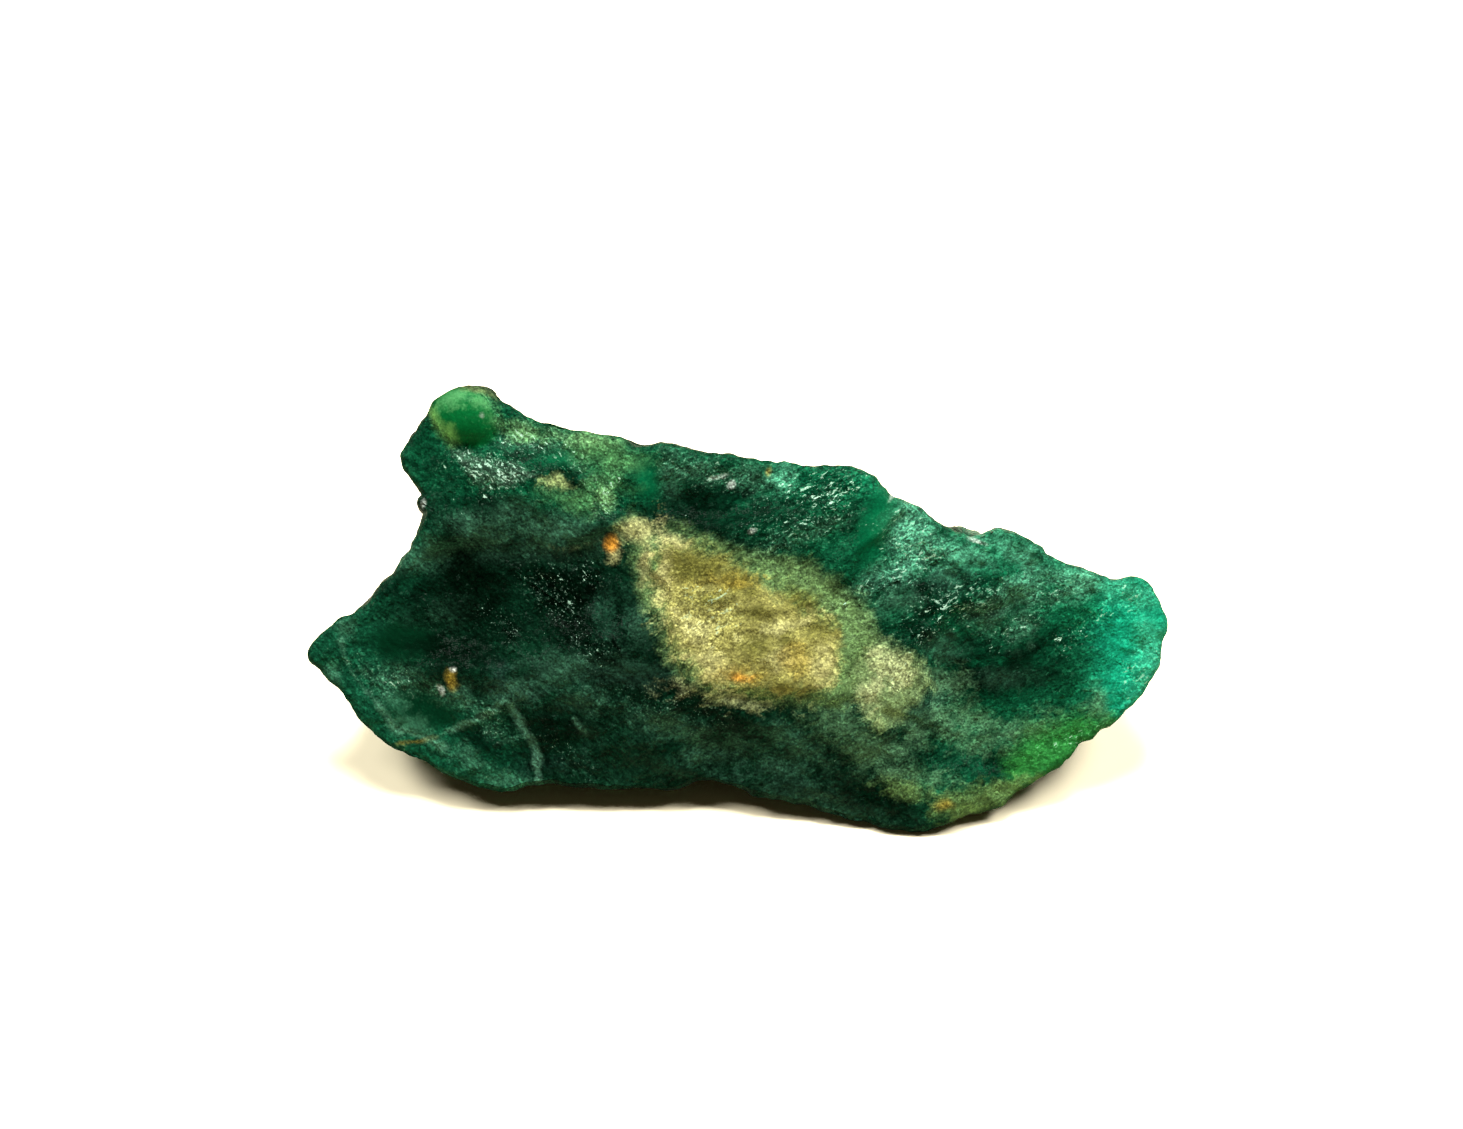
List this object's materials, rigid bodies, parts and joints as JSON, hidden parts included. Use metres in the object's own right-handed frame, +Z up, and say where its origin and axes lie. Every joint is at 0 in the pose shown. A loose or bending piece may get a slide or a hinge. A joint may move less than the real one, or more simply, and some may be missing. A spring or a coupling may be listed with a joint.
{
  "type": "rough grandidierite",
  "caption": "Broken slab of rough blue-green grandidierite with a pale yellow patch, a glassy corner knob and a flat to rest on.",
  "frame": {"origin": "the middle of the stone's box, on the surface it rests on", "axes": "+Z up, +X to the right along the length, the broad face leans back and looks towards -Y and up"},
  "size_m": [0.04, 0.017, 0.0137],
  "materials": {
    "stone": "broken, glassy to sugary, slightly translucent"
  },
  "bodies": {
    "root": {"grandidierite_stone": "stone"}
  },
  "joints": []
}
